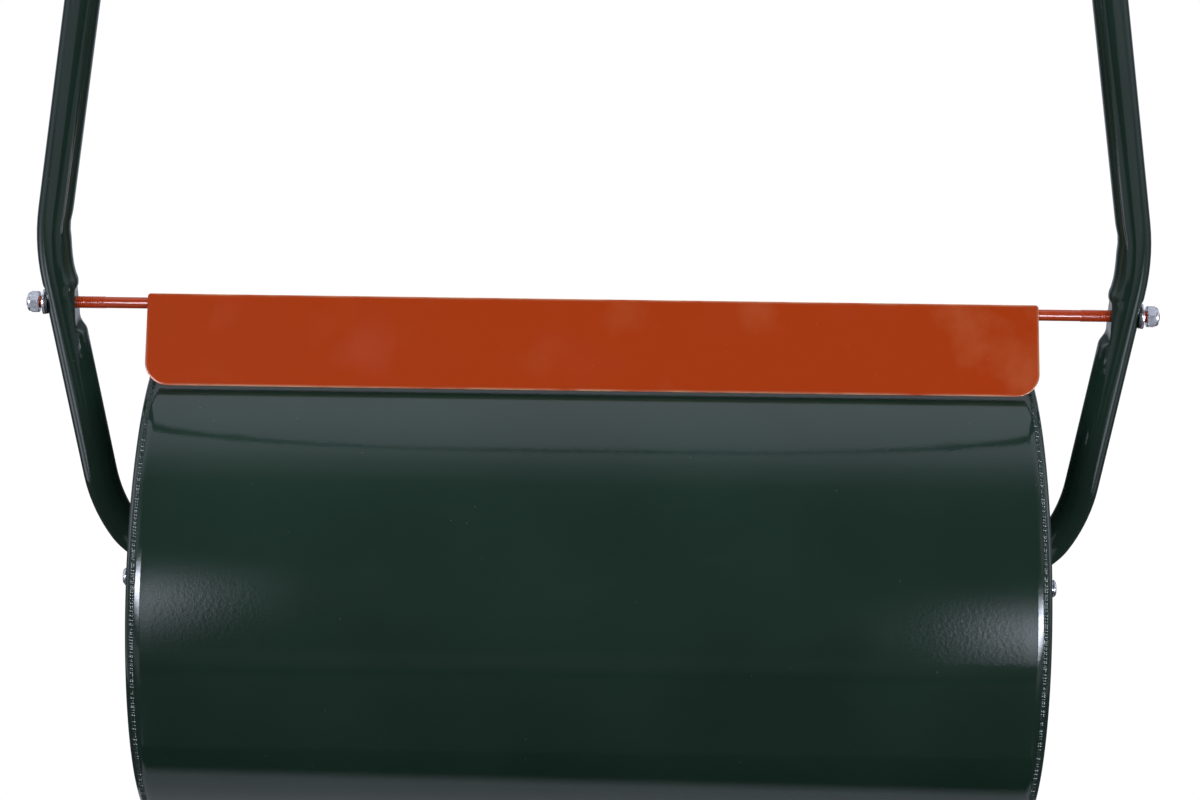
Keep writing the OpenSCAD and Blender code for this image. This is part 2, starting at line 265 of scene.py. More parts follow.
def bright_metal(name, colour, gloss, lines, metal):
    """Bare or plated steel: a metal with clouded gloss and fine tool lines round its axis.
    A metal share a little below 1 lightens the dark side of bright plating."""
    material, tree, out, place = new_material(name)
    cloud = noise(tree, place, 130.0, 3.0)
    shade = mixed(tree, ramp(tree, cloud, 0.3, 0.7), [c * 0.72 for c in colour], colour)
    rough = ramp(tree, cloud, 0.3, 0.75, gloss, gloss + 0.18)
    normal = bump(tree, noise(tree, place, 1.0, 2.0, (lines, 60.0, 60.0)), 0.01 * MM)
    shader = add_node(tree, "ShaderNodeBsdfPrincipled",
                      {"Base Color": shade, "Roughness": rough, "Normal": normal, "Metallic": metal})
    tree.links.new(shader.outputs[0], out.inputs["Surface"])
    return material


def moulded(name, colour, gloss, grain, depth, index=1.5):
    """A moulded polymer: one colour through and through, with the mould's spark grain."""
    material, tree, out, place = new_material(name)
    grains = noise(tree, place, grain, 2.0)
    blotch = noise(tree, place, 60.0, 3.0)
    shade = mixed(tree, ramp(tree, blotch, 0.3, 0.7), [c * 0.8 for c in colour], colour)
    rough = ramp(tree, grains, 0.3, 0.7, gloss, gloss + 0.15)
    shader = add_node(tree, "ShaderNodeBsdfPrincipled",
                      {"Base Color": shade, "Roughness": rough, "IOR": index,
                       "Normal": bump(tree, grains, depth)})
    tree.links.new(shader.outputs[0], out.inputs["Surface"])
    return material


def finishes():
    """Every finish of the roller, made once and then looked up by name."""
    if "Green powder coat" not in bpy.data.materials:
        tint = bpy.context.scene.roller_colours
        powder_coat("Green powder coat", tint.green, tint.green_deep, tint.dust, 0.085, 0.03)
        # The orange coat's last colour lightens its eased edges: wear, and a painted highlight along them.
        powder_coat("Orange powder coat", tint.orange, tint.orange, tint.orange_haze,
                    0.12, 0.16, (0.90, 0.55, 0.33))
        bright_metal("Zinc plated steel", tint.zinc, 0.16, 900.0, 0.82)
        bright_metal("Drawn steel", tint.steel, 0.34, 1500.0, 1.0)
        moulded("Moulded nylon", tint.nylon, 0.42, 900.0, 0.01 * MM)
        moulded("Moulded rubber", tint.rubber, 0.55, 1400.0, 0.03 * MM, 1.52)
        moulded("Moulded polypropylene", tint.plastic, 0.38, 1100.0, 0.02 * MM, 1.49)
    return bpy.data.materials


# ---------------------------------------------------------------------------- mesh helpers


def plain_object(name, verts, faces, edges=()):
    """A mesh object in the scene."""
    mesh = bpy.data.meshes.new(name)
    mesh.from_pydata([tuple(v) for v in verts], edges, faces)
    made = bpy.data.objects.new(name, mesh)
    bpy.context.scene.collection.objects.link(made)
    return made


def bare_piece(name, verts, faces, merge=True):
    """A closed mesh object with its faces outward and no finish yet."""
    piece = plain_object(name, verts, faces)
    tidy = bmesh.new()
    tidy.from_mesh(piece.data)
    if merge:
        bmesh.ops.remove_doubles(tidy, verts=tidy.verts, dist=1e-7)
    bmesh.ops.recalc_face_normals(tidy, faces=tidy.faces)
    tidy.to_mesh(piece.data)
    tidy.free()
    return piece


def finish_piece(piece, body, finish, replaced=(), crease=32):
    """Gives a piece its finish, its shading with crisp corners, and its place on a body."""
    slot, material = finish
    mesh = piece.data
    mesh.materials.clear()
    mesh.materials.append(finishes()[material])
    mesh.polygons.foreach_set("use_smooth", [True] * len(mesh.polygons))
    mesh.polygons.foreach_set("material_index", [0] * len(mesh.polygons))
    mesh.set_sharp_from_angle(angle=math.radians(crease))
    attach(piece, body)
    if replaced:
        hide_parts(*replaced)


def make_piece(name, body, finish, verts, faces, replaced=(), crease=32):
    """A closed mesh with its finish, on a body."""
    finish_piece(bare_piece(name, verts, faces), body, finish, replaced, crease)


def rounded(points, radius, steps=3, closed=True):
    """An outline with its corners rounded. A corner gives up at most 0.45 of its shorter side."""
    out = []
    count = len(points)
    for i, point in enumerate(points):
        here = Vector(point)
        if not closed and i in (0, count - 1):
            out.append(tuple(here))
            continue
        before, after = Vector(points[i - 1]) - here, Vector(points[(i + 1) % count]) - here
        turn = math.pi - before.angle(after)
        cut = min(radius * math.tan(turn / 2), 0.45 * before.length, 0.45 * after.length)
        start, end = here + before.normalized() * cut, here + after.normalized() * cut
        for k in range(steps + 1):
            t = k / steps
            out.append(tuple(start * (1 - t) ** 2 + here * 2 * t * (1 - t) + end * t ** 2))
    return out


def lathe(profile, place, steps, ring=True):
    """Turns (x, radius) points about a line along X. ring closes the profile on itself; otherwise it
    starts and ends on the line. A radius may be a function of the angle."""
    verts, faces, rows = [], [], []
    for x, radius in profile:
        if not callable(radius) and radius < 1e-7:
            rows.append([len(verts)] * steps)
            verts.append(Vector(place) + Vector((x, 0, 0)))
            continue
        rows.append(list(range(len(verts), len(verts) + steps)))
        for k in range(steps):
            angle = 2 * math.pi * k / steps
            r = radius(angle) if callable(radius) else radius
            verts.append(Vector(place) + Vector((x, r * math.cos(angle), r * math.sin(angle))))
    pairs = list(zip(rows, rows[1:] + rows[:1])) if ring else list(zip(rows, rows[1:]))
    for one, other in pairs:
        for k in range(steps):
            face = [one[k], one[(k + 1) % steps], other[(k + 1) % steps], other[k]]
            face = [v for i, v in enumerate(face) if v != face[i - 1]]
            if len(face) > 2:
                faces.append(face)
    return verts, faces


def joined(*shapes):
    """Several (verts, faces) shapes as one."""
    verts, faces = [], []
    for more, their_faces in shapes:
        faces += [[i + len(verts) for i in face] for face in their_faces]
        verts += list(more)
    return verts, faces


def mirrored(shape):
    """A shape mirrored across the middle of the roller."""
    verts, faces = shape
    return [Vector((-v[0], v[1], v[2])) for v in verts], [face[::-1] for face in faces]


def turned_to_y(shape, centre):
    """A shape made along X, turned so that its +X points along +Y, about a centre."""
    turn = Matrix.Rotation(math.pi / 2, 3, "Z")
    verts, faces = shape
    return [Vector(centre) + turn @ Vector(v) for v in verts], faces


def ring_of(x0, x1, bore, outer, place, edge=0.3 * MM, steps=72):
    """A turned ring or tube with eased corners."""
    outline = [(x0, bore), (x0, outer), (x1, outer), (x1, bore)]
    return lathe(rounded(outline, edge, 2), place, steps)


def hexagon(flats):
    """Radius of a hexagon at an angle, from its size across flats."""
    def radius(angle):
        return flats / 2 / math.cos((angle + math.pi / 6) % (math.pi / 3) - math.pi / 6)
    return radius


def within(flats, limit):
    """Radius of a hexagon whose corners are turned down to a limit."""
    corner = hexagon(flats)
    return lambda angle: min(corner(angle), limit)


def chamfer_rows(flats, x0, x1, outward, steps=5):
    """Rows of a hexagon's end from its face at x0 to full corners at x1."""
    low, high = 0.475 * flats, flats / 2 / math.cos(math.pi / 6)
    rows = [(x0 + (x1 - x0) * k / steps, within(flats, low + (high - low) * k / steps))
            for k in range(steps + 1)]
    return rows if outward else rows[::-1]


def lock_nut(flats, bore, tall, x0, place, steps=72):
    """A lock nut along +X: chamfered hexagon, round crown, and the nylon ring's lip inside it."""
    crown = 0.47 * flats
    hex_end = x0 + 0.66 * tall
    lip = 0.12 * flats
    rows = [(x0, bore)]
    rows += chamfer_rows(flats, x0, x0 + 0.06 * flats, True)
    rows += chamfer_rows(flats, hex_end + 0.05 * flats, hex_end, False)[:-1]
    rows += [(hex_end + 0.06 * flats, crown), (x0 + tall - lip, crown)]
    for k in range(1, 5):
        angle = math.pi / 2 * k / 4
        rows.append((x0 + tall - lip + lip * math.sin(angle), crown - lip + lip * math.cos(angle)))
    rows += [(x0 + tall - 0.2 * lip, bore + 0.10 * flats), (x0 + tall - lip, bore + 0.08 * flats),
             (x0 + tall - lip, bore)]
    return lathe(rows, place, steps)


def hex_bolt(flats, head, radius, tall, x0, place, steps=72):
    """A hexagon-head bolt along +X from the outside of its head, with a plain shank."""
    rows = [(x0, 0.0)] + chamfer_rows(flats, x0, x0 + 0.06 * flats, True)
    rows += [(x0 + head, hexagon(flats)), (x0 + head, radius), (x0 + tall - 0.6 * MM, radius),
             (x0 + tall, radius - 0.6 * MM), (x0 + tall, 0.0)]
    return lathe(rows, place, steps, ring=False)


def path_stations(corners, radii, spacing):
    """Points and headings along straight runs joined by arcs, in the X-Z plane. corners are (x, z);
    radii has one bend radius for each inner corner."""
    runs = []
    here = Vector(corners[0])
    for i in range(1, len(corners) - 1):
        corner = Vector(corners[i])
        into, away = (corner - here).normalized(), (Vector(corners[i + 1]) - corner).normalized()
        turn = into.angle_signed(away)
        cut = radii[i - 1] * math.tan(abs(turn) / 2)
        runs.append(("line", here, corner - into * cut, into))
        runs.append(("arc", corner - into * cut, turn, into, radii[i - 1]))
        here = corner + away * cut
    runs.append(("line", here, Vector(corners[-1]), (Vector(corners[-1]) - here).normalized()))
    stations = []
    for run in runs:
        if run[0] == "line":
            _, start, end, heading = run
            count = max(1, round((end - start).length / spacing))
            stations += [(start.lerp(end, k / count), heading) for k in range(count)]
        else:
            _, start, turn, heading, radius = run
            count = max(4, round(abs(turn) / math.radians(2.5)))
            side = Vector((heading.y, -heading.x)) * (1 if turn > 0 else -1)
            centre = start + side * radius
            for k in range(count):
                spin = Matrix.Rotation(-turn * k / count, 2)
                stations.append((centre + spin @ (start - centre), spin @ heading))
    stations.append((Vector(corners[-1]), runs[-1][3]))
    return stations


def swept(stations, outline, steps=64):
    """A solid swept along stations. outline(index, point, angle) gives the offset (across, y)."""
    verts, faces = [], []
    for i, (point, heading) in enumerate(stations):
        across = Vector((heading.y, -heading.x))
        for k in range(steps):
            n, y = outline(i, point, 2 * math.pi * k / steps)
            spot = point + across * n
            verts.append(Vector((spot.x, y, spot.y)))
    for i in range(len(stations) - 1):
        for k in range(steps):
            a, b = i * steps + k, i * steps + (k + 1) % steps
            faces.append([a, b, b + steps, a + steps])
    faces.append(list(range(steps))[::-1])
    faces.append([len(verts) - steps + k for k in range(steps)])
    return verts, faces


def smooth(t):
    t = max(0.0, min(1.0, t))
    return t * t * (3 - 2 * t)


def cut_holes(piece, shapes):
    """Takes closed shapes out of a piece for good."""
    drill = bare_piece("drill", *joined(*shapes), merge=False)
    cut = piece.modifiers.new("holes", "BOOLEAN")
    cut.operation, cut.solver, cut.object = "DIFFERENCE", "EXACT", drill
    settle(piece)
    bpy.data.objects.remove(drill)


def settle(piece):
    """Turns a piece's modifiers into a plain mesh."""
    graph = bpy.context.evaluated_depsgraph_get()
    mesh = bpy.data.meshes.new_from_object(piece.evaluated_get(graph), depsgraph=graph)
    piece.modifiers.clear()
    piece.data = mesh


def drill_rod(x0, x1, radius, place, steps=48):
    return lathe([(x0, 0.0), (x0, radius), (x1, radius), (x1, 0.0)], place, steps, ring=False)


# ---------------------------------------------------------------------------- geometry node trees


def new_tree(name, inputs):
    """A node tree that takes geometry and named inputs, and its input and output nodes."""
    tree = bpy.data.node_groups.new(name, "GeometryNodeTree")
    tree.interface.new_socket("Geometry", in_out="INPUT", socket_type="NodeSocketGeometry")
    for label, kind, default in inputs:
        socket = tree.interface.new_socket(label, in_out="INPUT", socket_type=kind)
        if default is not None:
            socket.default_value = default
    tree.interface.new_socket("Geometry", in_out="OUTPUT", socket_type="NodeSocketGeometry")
    return tree, add_node(tree, "NodeGroupInput").outputs, add_node(tree, "NodeGroupOutput")


def geo(tree, kind, inputs, **settings):
    """Adds a geometry node and gives its outputs."""
    return add_node(tree, "GeometryNode" + kind, inputs, **settings).outputs


def end_tree(tree, given, parts, out):
    """Ends a tree: its parts joined, made real geometry, given their material, and out."""
    both = add_node(tree, "GeometryNodeJoinGeometry")
    for part in parts:
        tree.links.new(part, both.inputs[0])
    real = geo(tree, "RealizeInstances", {"Geometry": both.outputs[0]})[0]
    done = geo(tree, "SetMaterial", {"Geometry": real, "Material": given["Material"]})[0]
    tree.links.new(done, out.inputs[0])
    return tree


def weld_tree():
    """Ripples of a weld bead along the edges of a mesh, each a little longer or shorter."""
    if "Weld ripples" in bpy.data.node_groups:
        return bpy.data.node_groups["Weld ripples"]
    tree, given, out = new_tree("Weld ripples", [
        ("Pitch", "NodeSocketFloat", 1.5 * MM), ("Radius", "NodeSocketFloat", 1.2 * MM),
        ("Unevenness", "NodeSocketFloat", 0.35), ("Seed", "NodeSocketInt", 7),
        ("Material", "NodeSocketMaterial", None)])
    line = geo(tree, "MeshToCurve", {0: given["Geometry"]})[0]
    points = geo(tree, "CurveToPoints", {"Curve": line, "Length": given["Pitch"]}, mode="LENGTH")
    ball = geo(tree, "MeshIcoSphere", {"Radius": given["Radius"], "Subdivisions": 2})[0]
    soft = geo(tree, "SetShadeSmooth", {0: ball})[0]
    size = add_node(tree, "FunctionNodeRandomValue", data_type="FLOAT")
    for label, source in (("Min", calc(tree, "SUBTRACT", 1.0, given["Unevenness"])),
                          ("Max", calc(tree, "ADD", 1.0, given["Unevenness"])), ("Seed", given["Seed"])):
        tree.links.new(source, next(s for s in size.inputs if s.name == label and s.enabled))
    amount = next(s for s in size.outputs if s.enabled)
    scale = add_node(tree, "ShaderNodeCombineXYZ", {0: amount, 1: amount, 2: amount}).outputs[0]
    placed = geo(tree, "InstanceOnPoints", {"Points": points[0], "Instance": soft,
                                              "Rotation": points["Rotation"], "Scale": scale})[0]
    return end_tree(tree, given, [placed], out)


def thread_tree():
    """A rolled thread's ridge: a helix along X that starts at a place, joined to its core."""
    if "Rolled thread" in bpy.data.node_groups:
        return bpy.data.node_groups["Rolled thread"]
    tree, given, out = new_tree("Rolled thread", [
        ("Radius", "NodeSocketFloat", 3.6 * MM), ("Pitch", "NodeSocketFloat", 1.25 * MM),
        ("Turns", "NodeSocketFloat", 10.0), ("Ridge", "NodeSocketFloat", 0.42 * MM),
        ("Place", "NodeSocketVector", (0, 0, 0)), ("Turn", "NodeSocketVector", (0, 0, 0)),
        ("Material", "NodeSocketMaterial", None)])
    tall = calc(tree, "MULTIPLY", given["Pitch"], given["Turns"])
    helix = geo(tree, "CurveSpiral", {"Resolution": 28, "Rotations": given["Turns"], "Height": tall,
                                        "Start Radius": given["Radius"], "End Radius": given["Radius"]})[0]
    section = geo(tree, "CurvePrimitiveCircle", {"Resolution": 8, "Radius": given["Ridge"]})[0]
    ridge = geo(tree, "CurveToMesh", {"Curve": helix, "Profile Curve": section, "Fill Caps": True})[0]
    turned = geo(tree, "Transform", {"Geometry": ridge, "Translation": given["Place"],
                                       "Rotation": given["Turn"]})[0]
    return end_tree(tree, given, [turned, given["Geometry"]], out)


def rib_tree():
    """Equal round ribs about X along a mesh line, joined to the sleeve that carries them."""
    if "Grip ribs" in bpy.data.node_groups:
        return bpy.data.node_groups["Grip ribs"]
    tree, given, out = new_tree("Grip ribs", [
        ("Start", "NodeSocketVector", (0, 0, 0)), ("Pitch", "NodeSocketFloat", 4.75 * MM),
        ("Count", "NodeSocketInt", 30), ("Radius", "NodeSocketFloat", 15 * MM),
        ("Rib", "NodeSocketFloat", 1 * MM), ("Material", "NodeSocketMaterial", None)])
    step = add_node(tree, "ShaderNodeCombineXYZ", {0: given["Pitch"]}).outputs[0]
    line = geo(tree, "MeshLine", {"Count": given["Count"], "Start Location": given["Start"],
                                    "Offset": step})[0]
    hoop = geo(tree, "CurvePrimitiveCircle", {"Resolution": 72, "Radius": given["Radius"]})[0]
    section = geo(tree, "CurvePrimitiveCircle", {"Resolution": 10, "Radius": given["Rib"]})[0]
    rib = geo(tree, "CurveToMesh", {"Curve": hoop, "Profile Curve": section})[0]
    placed = geo(tree, "InstanceOnPoints", {"Points": line, "Instance": rib,
                                              "Rotation": (0, math.pi / 2, 0)})[0]
    return end_tree(tree, given, [placed, given["Geometry"]], out)


def run_tree(piece, tree, **values):
    """Runs a tree on a piece with named inputs and keeps the plain result."""
    step = piece.modifiers.new(tree.name, "NODES")
    step.node_group = tree
    names = {item.name: item.identifier for item in tree.interface.items_tree
             if item.item_type == "SOCKET" and item.in_out == "INPUT"}
    for label, value in values.items():
        step[names[label.replace("_", " ")]] = value
    settle(piece)


def weld_piece(name, body, finish, lines, radius, pitch, seed):
    """A weld bead along polylines; a closed line repeats its first point."""
    verts, edges = [], []
    for line in lines:
        edges += [(len(verts) + i, len(verts) + i + 1) for i in range(len(line) - 1)]
        verts += line
    piece = plain_object(name, verts, [], edges)
    run_tree(piece, weld_tree(), Pitch=pitch, Radius=radius, Seed=seed, Material=finishes()[finish[1]])
    finish_piece(piece, body, finish, crease=180)


def circle_line(x, radius, z, steps=180):
    return [(x, radius * math.cos(a), z + radius * math.sin(a))
            for a in (2 * math.pi * k / steps for k in range(steps + 1))]


# ---------------------------------------------------------------------------- operators: the drum


class ROLLER_OT_drum(bpy.types.Operator):
    """Makes the rolled shell and the pressed end heads"""
    bl_idname = "roller.drum"
    bl_label = "Drum Shell and Heads"

    def execute(self, context):
        size = context.scene.roller_sizes
        place = (0, 0, AXLE_Z)
        weld_x = near("drum_shell", 1)
        end_x = near("end_head_right", 1)
        inner = DRUM_R - size.sheet
        curl, drop = size.edge_curl, size.edge_drop
        ends = [(weld_x - curl + curl * k / 9, DRUM_R - drop * (k / 9) ** 2) for k in range(10)]
        rows = [(-x, r) for x, r in ends[::-1]]
        rows += [((weld_x - curl) * (2 * k / 60 - 1), DRUM_R) for k in range(1, 60)]
        rows += ends
        rows += [(weld_x, inner), (-weld_x, inner)]
        make_piece("drum_skin", "drum", GREEN, *lathe(rows, place, 512), ["drum_shell"])
        flat_x = end_x - size.recess
        leg = DRUM_R - 2 * size.rim_r
        hub = near_radius("hub_plate_right")
        pipe = near_radius("axle_pipe")
        ring_mid = (leg + hub) / 2
        outer_face = [(flat_x, pipe), (flat_x, ring_mid - 14 * MM),
                      (flat_x + size.press_bead, ring_mid - 7 * MM),
                      (flat_x + size.press_bead, ring_mid + 7 * MM), (flat_x, ring_mid + 14 * MM),
                      (flat_x, leg - 0.5 * MM)]
        outer_face = rounded(outer_face, 6 * MM, 4, closed=False)
        crown = [(weld_x + size.rim_r * math.sin(a),
                  DRUM_R - size.rim_r - drop / 2 - (size.rim_r - drop / 2) * math.cos(a))
                 for a in (math.pi * k / 16 for k in range(17))]
        lining = [(weld_x + (size.rim_r - size.sheet) * math.sin(a),
                   DRUM_R - size.rim_r - drop / 2 - (size.rim_r - size.sheet - drop / 2) * math.cos(a))
                  for a in (math.pi * k / 16 for k in range(16, -1, -1))]
        inner_face = [(x - size.sheet, r + (size.sheet if r > leg - MM else 0))
                      for x, r in outer_face[::-1]]
        rows = outer_face + crown + lining + inner_face
        head = lathe(rows, place, 256)
        make_piece("head_left", "drum", GREEN, *mirrored(head), ["end_head_left"])
        right = bare_piece("head_right", *head)
        low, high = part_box("filler_socket")
        centre = (0, (low.y + high.y) / 2, (low.z + high.z) / 2)
        cut_holes(right, [drill_rod(flat_x - 20 * MM, flat_x + 20 * MM,
                                    (high.y - low.y) / 2 - 0.2 * MM, centre)])
        finish_piece(right, "drum", GREEN, ["end_head_right"])
        return {"FINISHED"}


class ROLLER_OT_rim_welds(bpy.types.Operator):
    """Lays the weld beads of the rims and hubs"""
    bl_idname = "roller.rim_welds"
    bl_label = "Drum Welds"

    def execute(self, context):
        size = context.scene.roller_sizes
        weld_x, hub_x = near("drum_shell", 1), near("hub_plate_right", 1)
        hub, pipe = near_radius("hub_plate_right"), near_radius("axle_pipe")
        plate_x = near("hub_plate_right", 0)
        sunk = 0.62 * size.weld_r
        for side, label, seed in ((-1, "left", 11), (1, "right", 23)):
            weld_piece(f"rim_weld_{label}", "drum", GREEN,
                       [circle_line(side * (weld_x + 0.20 * size.rim_r), DRUM_R - size.edge_drop - sunk
                                    + 0.1 * MM, AXLE_Z, 512)],
                       size.weld_r, size.weld_pitch, seed)
            weld_piece(f"hub_weld_{label}", "drum", GREEN,
                       [circle_line(side * (plate_x + sunk), hub, AXLE_Z),
                        circle_line(side * (hub_x + sunk / 2), pipe, AXLE_Z)],
                       1.6 * size.weld_r, size.weld_pitch, seed + 1)
        return {"FINISHED"}


class ROLLER_OT_hub(bpy.types.Operator):
    """Makes the hub doublers, the pipe through the drum and the bushes"""
    bl_idname = "roller.hub"
    bl_label = "Hubs"

    def execute(self, context):
        steps = context.scene.roller_sizes.round_steps
        place = (0, 0, AXLE_Z)
        pipe_r, bore = near_radius("axle_pipe"), near_radius("axle_pipe") - 2.6 * MM
        shaft = near_radius("axle_shaft")
        pipe_x = near("axle_pipe", 1)
        make_piece("hub_pipe", "drum", STEEL,
                   *ring_of(-pipe_x, pipe_x, bore, pipe_r, place, 0.4 * MM, steps), ["axle_pipe"])
        plate = ring_of(near("hub_plate_right", 0), near("hub_plate_right", 1),
                        pipe_r + 0.1 * MM, near_radius("hub_plate_right"), place, 0.8 * MM, 128)
        x0, x1 = near("bush_right", 0), near("bush_right", 1)
        outline = [(x0, shaft + 0.05 * MM), (x0, bore - 0.05 * MM), (pipe_x + 0.05 * MM, bore - 0.05 * MM),
                   (pipe_x + 0.05 * MM, near_radius("bush_right")), (x1, near_radius("bush_right")),
                   (x1, shaft + 0.05 * MM)]
        bush = lathe(rounded(outline, 0.4 * MM, 2), place, steps)
        for label, form in (("left", mirrored), ("right", lambda shape: shape)):
            make_piece(f"hub_doubler_{label}", "drum", GREEN, *form(plate), [f"hub_plate_{label}"])
            make_piece(f"nylon_bush_{label}", "drum", NYLON, *form(bush), [f"bush_{label}"])
        return {"FINISHED"}


class ROLLER_OT_filler(bpy.types.Operator):
    """Makes the filler socket, its seal and the ribbed plug"""
    bl_idname = "roller.filler"
    bl_label = "Filler"

    def execute(self, context):
        low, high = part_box("filler_socket")
        centre = (0, (low.y + high.y) / 2, (low.z + high.z) / 2)
        outer = (high.y - low.y) / 2
        shank = (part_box("filler_seal")[1].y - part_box("filler_seal")[0].y) / 2 - 4.6 * MM
        make_piece("filler_boss", "drum", GREEN,
                   *ring_of(low.x, high.x, shank + 0.1 * MM, outer, centre, 0.8 * MM, 128),
                   ["filler_socket"])
        weld_piece("filler_weld", "drum", GREEN, [[(x, y + centre[1], z - AXLE_Z + centre[2]) for x, y, z in
                     circle_line(near("hub_plate_right", 0) + 0.6 * MM, outer, AXLE_Z)]],
                   1.7 * MM, 1.7 * MM, 5)
        seal_low, seal_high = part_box("filler_seal")
        make_piece("plug_seal", "plug", RUBBER, *ring_of(seal_low.x, seal_high.x, shank + 0.1 * MM,
                            (seal_high.y - seal_low.y) / 2, centre, 0.8 * MM, 96),
                   ["filler_seal"])
        plug_low, plug_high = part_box("filler_plug")
        flange = (plug_high.y - plug_low.y) / 2

        def ribbed(angle):
            return flange - 0.5 * MM * (1 - abs(math.cos(angle * 18)) ** 0.6)

        rows = [(plug_low.x, 0.0), (plug_low.x, shank - 1.2 * MM), (plug_low.x + 1.2 * MM, shank),
                (seal_high.x + 0.05 * MM, shank), (seal_high.x + 0.05 * MM, flange - 1.2 * MM),
                (seal_high.x + 0.4 * MM, ribbed), (plug_high.x - 0.6 * MM, ribbed),
                (plug_high.x, flange - 1.6 * MM), (plug_high.x, flange - 5 * MM),
                (plug_high.x - 1 * MM, flange - 6.2 * MM), (plug_high.x - 1 * MM, 0.0)]
        plug = bare_piece("plug", *lathe(rows, centre, 144, ring=False))
        key = 7 * MM
        y0, y1, z0, z1 = (centre[1] - key, centre[1] + key, centre[2] - key, centre[2] + key)
        x0, x1 = plug_high.x - 12 * MM, plug_high.x + 8 * MM
        box = [(x, y, z) for x in (x0, x1) for y in (y0, y1) for z in (z0, z1)]
        sides = [(0, 1, 3, 2), (4, 6, 7, 5), (0, 4, 5, 1), (2, 3, 7, 6), (0, 2, 6, 4), (1, 5, 7, 3)]
        cut_holes(plug, [(box, [list(side) for side in sides])])
        finish_piece(plug, "plug", PLASTIC, ["filler_plug"])
        return {"FINISHED"}


# ---------------------------------------------------------------------------- operators: the handle


class ROLLER_OT_side_tubes(bpy.types.Operator):
    """Bends the side tubes, with flattened ends and the dents round the scraper rod"""
    bl_idname = "roller.side_tubes"
    bl_label = "Side Tubes"

    def execute(self, context):
        size = context.scene.roller_sizes
        eye_x = near("axle_washers", 1) - 2.5 * MM - size.eye_t / 2
        elbow = Vector((eye_x + 31.4 * MM, size.elbow_h))
        knee = Vector((size.knee_x, size.knee_h))
        foot = Vector((math.sin(math.radians(31)), math.cos(math.radians(31))))
        joint = joint_point(size)
        corners = [(eye_x, -size.eye_r), (eye_x, 15 * MM), elbow - foot * 27 * MM, elbow, knee, joint]
        stations = path_stations([Vector(c) for c in corners],
                                 [14 * MM, 40 * MM, 110 * MM, 150 * MM], 1.5 * MM)
        tip = [(Vector((eye_x, -size.eye_r * math.cos(math.pi / 2 * k / 12))), Vector((0, 1)))
               for k in range(1, 12)]
        stations = tip + [s for s in stations if s[0].y >= 0]
        rod_h = ROD_Z - AXLE_Z
        rod_x = elbow.x + (knee.x - elbow.x) * (rod_h - elbow.y) / (knee.y - elbow.y)
        last = len(stations) - 1
        ease = 0.5 * MM

        def outline(index, point, angle):
            flat = 1 - smooth((point.y - 15 * MM) / (24 * MM))
            half_n = size.tube_r + (size.eye_t / 2 - size.tube_r) * flat
            half_y = size.tube_r + (size.eye_r - size.tube_r) * flat
            if point.y < 0:
                half_y = math.sqrt(max(size.eye_r ** 2 - point.y ** 2, MM ** 2))
            if index == last:
                half_n, half_y = half_n - ease, half_y - ease
            power = 2 / (2 + 3 * flat)
            c, s = math.cos(angle), math.sin(angle)
            return (half_n * math.copysign(abs(c) ** power, c),
                    half_y * math.copysign(abs(s) ** power, s))

        verts, faces = swept(stations, outline)
        for k, v in enumerate(verts):
            over = v.z - rod_h
            inner = (stations[k // 64][0].x - v.x) / size.tube_r
            press = 1 - smooth((over - 10 * MM) / (3 * MM) if over > 0 else (-over - 11 * MM) / (9 * MM))
            if v.x < rod_x - size.flat_in:
                v.x += (rod_x - size.flat_in - v.x) * press
            elif v.x > rod_x + size.flat_out:
                v.x += (rod_x + size.flat_out - v.x) * press
            if inner > 0:
                v.x += 1.0 * MM * inner * math.exp(-((over - 54 * MM) / (6 * MM)) ** 2)
            if v.x < rod_x:
                v.x -= 0.9 * MM * math.exp(-((over - 16 * MM) / (4 * MM)) ** 2)
            v.z += AXLE_Z
        shaft = near_radius("axle_shaft") + 0.06 * MM
        holes = [drill_rod(eye_x - 10 * MM, eye_x + 10 * MM, shaft, (0, 0, AXLE_Z)),
                 drill_rod(rod_x - 20 * MM, rod_x + 20 * MM, 4.06 * MM, (0, 0, ROD_Z))]
        for x, z in bolt_points(size):
            holes.append(turned_to_y(drill_rod(-20 * MM, 20 * MM, 3.25 * MM, (0, 0, 0)), (x, 0, z)))
        for label, form in (("left", mirrored), ("right", lambda shape: shape)):
            tube = bare_piece(f"tube_{label}", *form((verts, faces)))
            cut_holes(tube, [form(hole) for hole in holes])
            finish_piece(tube, "handle", GREEN, [f"side_tube_{label}"], 40)
        return {"FINISHED"}


def leg_slope():
    """Inward run of the legs for each metre of height."""
    return math.tan(math.radians(9.91))


def joint_point(size):
    """Top of a side tube, above the axle."""
    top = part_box("side_tube_right")[1].z - AXLE_Z
    half_end = size.tube_r * math.sin(math.radians(9.91))
    height = top - half_end
    return Vector((size.knee_x - (height - size.knee_h) * leg_slope(), height))


def bolt_points(size):
    """Middles of the right leg's two bow bolts."""
    low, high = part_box("bow_bolts")
    half = 5.77 * MM
    return [(size.knee_x - (z - AXLE_Z - size.knee_h) * leg_slope(), z)
            for z in (high.z - half, low.z + half)]


